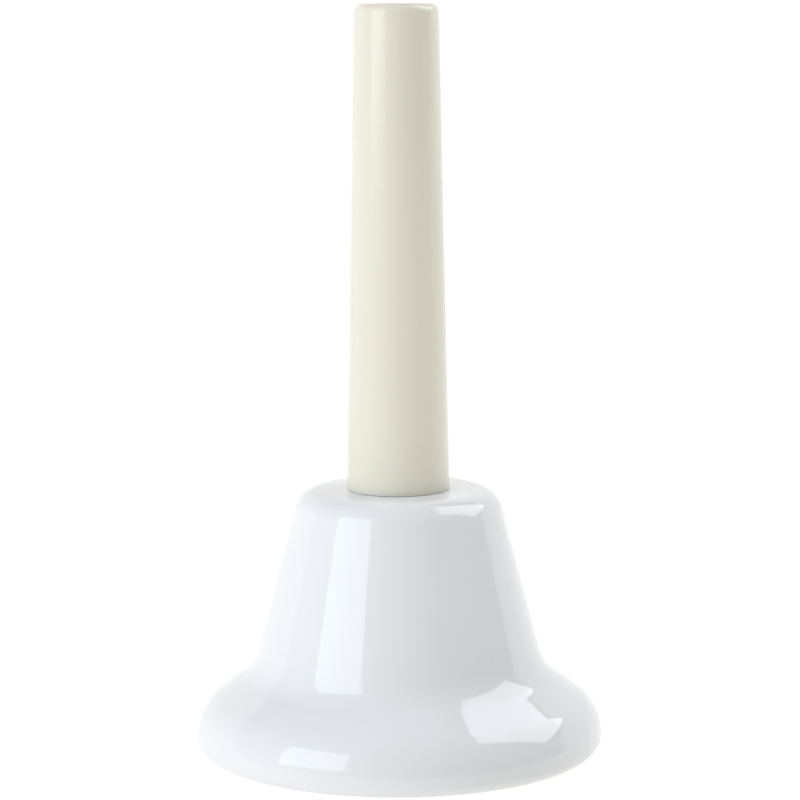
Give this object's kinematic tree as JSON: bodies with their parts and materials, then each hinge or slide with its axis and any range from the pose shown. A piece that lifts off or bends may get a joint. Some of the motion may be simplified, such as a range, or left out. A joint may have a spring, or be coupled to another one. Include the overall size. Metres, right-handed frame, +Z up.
{
  "type": "handbell",
  "caption": "Small white handbell with a flared metal cup, a straight tapered ivory handle and a ball clapper that swings side to side.",
  "frame": {"origin": "centre of the mouth, on the plane the rim stands on", "axes": "+Z up along the handle; the clapper's axle runs along Y, so the clapper swings along X; -Y faces the viewer"},
  "size_m": [0.08, 0.08, 0.1458],
  "materials": {
    "white_enamel": "high gloss enamel on pressed steel",
    "ivory_plastic": "smooth semi-gloss moulding",
    "nylon": "natural moulded nylon",
    "brass": "turned",
    "fibre": "pressed fibre sheet",
    "steel": "zinc plated",
    "spring_bronze": "rolled spring bronze",
    "felt": "pressed wool felt",
    "rubber": "matt"
  },
  "bodies": {
    "bell": {"bell_cup": "white_enamel", "handle_grip": "ivory_plastic", "handle_plug": "nylon", "threaded_insert": "brass", "crown_washer": "fibre", "inner_washer": "fibre", "yoke": "steel", "lock_washer": "steel", "clamp_screw": "steel", "spring_left": "spring_bronze", "spring_right": "spring_bronze", "spring_rivet_left": "steel", "spring_rivet_right": "steel", "spring_pad_left": "felt", "spring_pad_right": "felt", "axle_pin": "steel", "axle_clip": "steel", "axle_spacer_front": "nylon", "axle_spacer_rear": "nylon"},
    "clapper": {"clapper_eye": "nylon", "eye_bush": "brass", "clapper_rod": "steel", "upper_nut": "steel", "upper_washer": "steel", "clapper_head": "nylon", "striker_ring": "rubber", "lower_washer": "steel", "lower_nut": "steel"}
  },
  "joints": [
    {"name": "clapper_swing", "type": "hinge", "parent": "bell", "child": "clapper", "pos_m": [0, 0, 0.04], "axis": [0, 1, 0], "range_deg": [-39.5, 39.5]}
  ]
}
